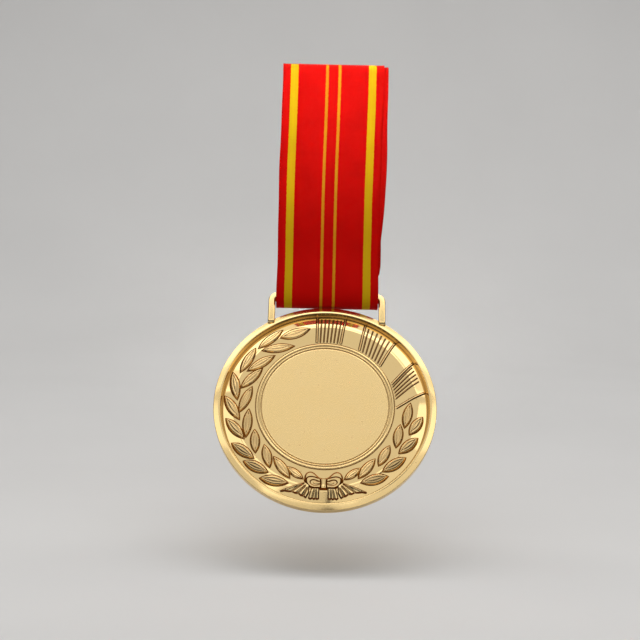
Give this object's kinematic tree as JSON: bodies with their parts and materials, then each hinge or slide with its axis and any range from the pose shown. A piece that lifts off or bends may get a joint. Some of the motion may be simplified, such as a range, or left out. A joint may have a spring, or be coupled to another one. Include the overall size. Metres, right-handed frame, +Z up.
{
  "type": "award medal",
  "caption": "Cast award medal with a laurel wreath, sheaves of rays and a plain centre panel, hung by a slotted loop on a striped neck ribbon that is folded over a rail.",
  "frame": {"origin": "underside of the ribbon's top fold, in the middle of its width, where a rail or hook carries it", "axes": "+Z up along the hanging ribbon, -Y the way the medal's face looks, +X to the right as seen from the front"},
  "size_m": [0.068, 0.0613, 0.1336],
  "materials": {
    "polished_gold": "polished gold plate",
    "satin_gold": "fine satin gold plate",
    "ribbon_weave": "red woven ribbon with yellow stripes",
    "seam_thread": "polyester thread",
    "tie_elastic": "flat elastic band"
  },
  "bodies": {
    "ribbon": {"ribbon_front": "ribbon_weave", "ribbon_top_fold": "ribbon_weave", "ribbon_hank": "ribbon_weave", "ribbon_seam": "seam_thread", "ribbon_tie": "tie_elastic"},
    "medal": {"medal_disc": "polished_gold", "rim_ring": "polished_gold", "suspension_loop": "polished_gold", "centre_panel": "satin_gold", "centre_ring": "polished_gold", "laurel_left": "polished_gold", "laurel_right": "polished_gold", "ribbon_bow": "polished_gold", "bow_tails": "polished_gold", "ray_fan_left": "polished_gold", "ray_fan_middle": "polished_gold", "ray_fan_right": "polished_gold"}
  },
  "joints": [
    {"name": "medal_swing", "type": "hinge", "parent": "ribbon", "child": "medal", "pos_m": [0, -0.0084, -0.0724], "axis": [1, 0, 0], "range_deg": [-55, 125]}
  ]
}
